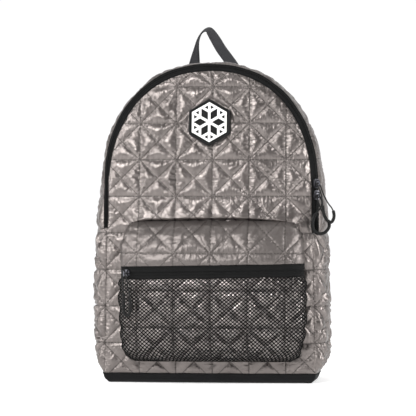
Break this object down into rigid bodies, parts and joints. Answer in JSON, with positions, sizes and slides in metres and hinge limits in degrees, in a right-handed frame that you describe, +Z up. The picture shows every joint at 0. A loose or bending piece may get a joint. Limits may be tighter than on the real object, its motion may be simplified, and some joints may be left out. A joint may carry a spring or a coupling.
{
  "type": "backpack",
  "caption": "Quilted puffer daypack with an arched main zip, a netted front pocket, a webbing grab handle, padded shoulder straps and a plain reinforced base, standing upright.",
  "frame": {"origin": "centre of the base's flat underside, on the floor that the backpack stands on", "axes": "+Z up; the front with the pocket and the patch faces -Y, the shoulder straps are on the +Y side, and +X is to the right seen from the front"},
  "size_m": [0.3213, 0.2167, 0.4739],
  "materials": {
    "quilted_shell": "quilted glossy nylon, taupe grey",
    "shell_fabric": "glossy nylon, taupe grey",
    "back_padding": "matte padded nylon",
    "strap_padding": "satin padded nylon",
    "zip_tape": "matte woven tape with coil teeth",
    "mesh_net": "knitted net, matte black",
    "base_fabric": "matte woven polyester, dark grey",
    "patch_rubber": "moulded soft rubber, satin black",
    "patch_print": "raised moulded lines, off-white",
    "slider_metal": "gunmetal plated",
    "pull_cord": "thin braided cord, black",
    "pull_grip": "soft sleeve, black",
    "webbing": "woven webbing, dark grey",
    "buckle_plastic": "moulded plastic, black"
  },
  "bodies": {
    "root": {"front_panel": "quilted_shell", "back_panel": "back_padding", "main_zip": "zip_tape", "top_gusset": "quilted_shell", "left_side_panel": "quilted_shell", "right_side_panel": "quilted_shell", "base": "base_fabric", "pocket_lower": "quilted_shell", "pocket_zip": "zip_tape", "pocket_upper": "quilted_shell", "pocket_mesh": "mesh_net", "patch": "patch_rubber", "patch_motif": "patch_print", "main_slider_upper": "slider_metal", "main_upper_pull": "pull_cord", "main_upper_grip": "pull_grip", "main_slider_lower": "slider_metal", "main_lower_pull": "pull_cord", "main_lower_grip": "pull_grip", "pocket_slider": "slider_metal", "pocket_pull": "pull_cord", "pocket_grip": "pull_grip", "grab_handle": "webbing", "left_shoulder_strap": "strap_padding", "left_strap_adjuster": "buckle_plastic", "left_lower_webbing": "webbing", "left_webbing_tail": "webbing", "left_strap_anchor": "shell_fabric", "right_shoulder_strap": "strap_padding", "right_strap_adjuster": "buckle_plastic", "right_lower_webbing": "webbing", "right_webbing_tail": "webbing", "right_strap_anchor": "shell_fabric"}
  },
  "joints": []
}
